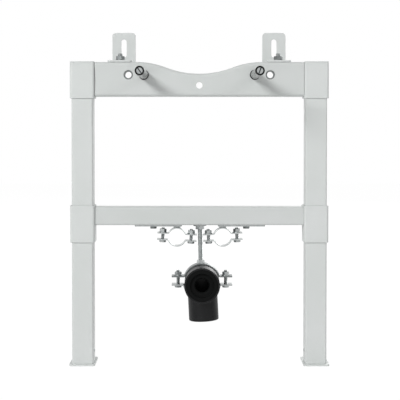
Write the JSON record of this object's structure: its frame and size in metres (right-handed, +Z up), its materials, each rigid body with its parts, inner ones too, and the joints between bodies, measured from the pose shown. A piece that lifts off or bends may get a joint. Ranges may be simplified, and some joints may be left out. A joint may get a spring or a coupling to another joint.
{
  "type": "bidet installation frame",
  "caption": "Free-standing steel frame for a wall-hung bidet: posts on foot plates, dipped top rail with long studs, wall brackets, pipe clamps and a hanging waste elbow.",
  "frame": {"origin": "on the floor under the middle of the frame's box", "axes": "+Z up, +Y from the studs towards the wall, +X to the right as seen from the front"},
  "size_m": [0.424, 0.274, 0.551],
  "materials": {
    "powder_coat": "light grey powder coat, satin",
    "zinc_plate": "zinc plated steel",
    "tube_plastic": "grey see-through tube",
    "black_plastic": "black moulded plastic",
    "elbow_plastic": "black polyethylene, satin",
    "seal_rubber": "black rubber"
  },
  "bodies": {
    "root": {"top_rail": "powder_coat", "rail_nuts": "zinc_plate", "left_post": "powder_coat", "right_post": "powder_coat", "left_corner_sleeve": "powder_coat", "right_corner_sleeve": "powder_coat", "left_mid_sleeve": "powder_coat", "right_mid_sleeve": "powder_coat", "left_sleeve_cap": "powder_coat", "right_sleeve_cap": "powder_coat", "sleeve_nuts": "zinc_plate", "sleeve_bolts": "zinc_plate", "crossbar": "powder_coat", "bar_inserts": "zinc_plate", "left_foot": "powder_coat", "right_foot": "powder_coat", "foot_rivets": "zinc_plate", "left_wall_bracket": "powder_coat", "right_wall_bracket": "powder_coat", "bracket_bolts": "zinc_plate", "bracket_nuts": "zinc_plate", "left_stud": "zinc_plate", "right_stud": "zinc_plate", "left_stud_tube": "tube_plastic", "right_stud_tube": "tube_plastic", "stud_end_rings": "black_plastic", "stud_seat_rings": "black_plastic", "left_strap": "zinc_plate", "right_strap": "zinc_plate", "strap_bolts": "zinc_plate", "left_clamp_top": "zinc_plate", "right_clamp_top": "zinc_plate", "left_clamp_bottom": "zinc_plate", "right_clamp_bottom": "zinc_plate", "clamp_bosses": "zinc_plate", "clamp_bolts": "zinc_plate", "clamp_nuts": "zinc_plate", "hanger_rod": "zinc_plate", "hanger_nut": "zinc_plate", "waste_clamp_top": "zinc_plate", "waste_clamp_bottom": "zinc_plate", "waste_clamp_bolts": "zinc_plate", "waste_clamp_nuts": "zinc_plate", "waste_elbow": "elbow_plastic", "elbow_seal": "seal_rubber"}
  },
  "joints": []
}
